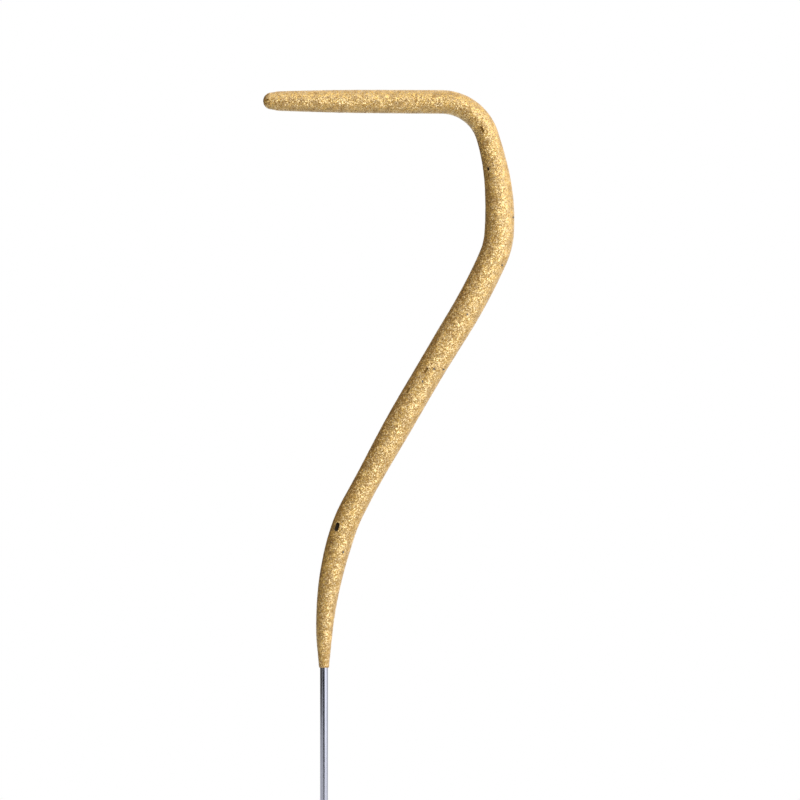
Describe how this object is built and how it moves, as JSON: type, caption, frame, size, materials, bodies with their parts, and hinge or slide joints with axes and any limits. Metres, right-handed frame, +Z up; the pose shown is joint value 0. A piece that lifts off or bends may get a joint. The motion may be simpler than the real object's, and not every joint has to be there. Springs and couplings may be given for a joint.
{
  "type": "number sparkler",
  "caption": "Handheld figure-seven sparkler: a bent steel wire dipped in sparkler paste under a grainy gold skin, with a straight bare wire stem to hold or stand it by.",
  "frame": {"origin": "the wire's axis at its lower, free end", "axes": "+Z up the straight stem, +X to the figure's right, so that it reads as a seven looking along +Y"},
  "size_m": [0.0503, 0.006, 0.1801],
  "materials": {
    "steel_wire": "bright drawn steel wire",
    "sparkler_paste": "dried dark grey-brown paste",
    "gold_finish": "grainy metallic gold",
    "filings": "dull blue-grey steel chips"
  },
  "bodies": {
    "root": {"core_wire": "steel_wire", "first_dip_coat": "sparkler_paste", "second_dip_coat": "sparkler_paste", "third_dip_coat": "sparkler_paste", "gold_finish_coat": "gold_finish", "steel_filings": "filings"}
  },
  "joints": []
}
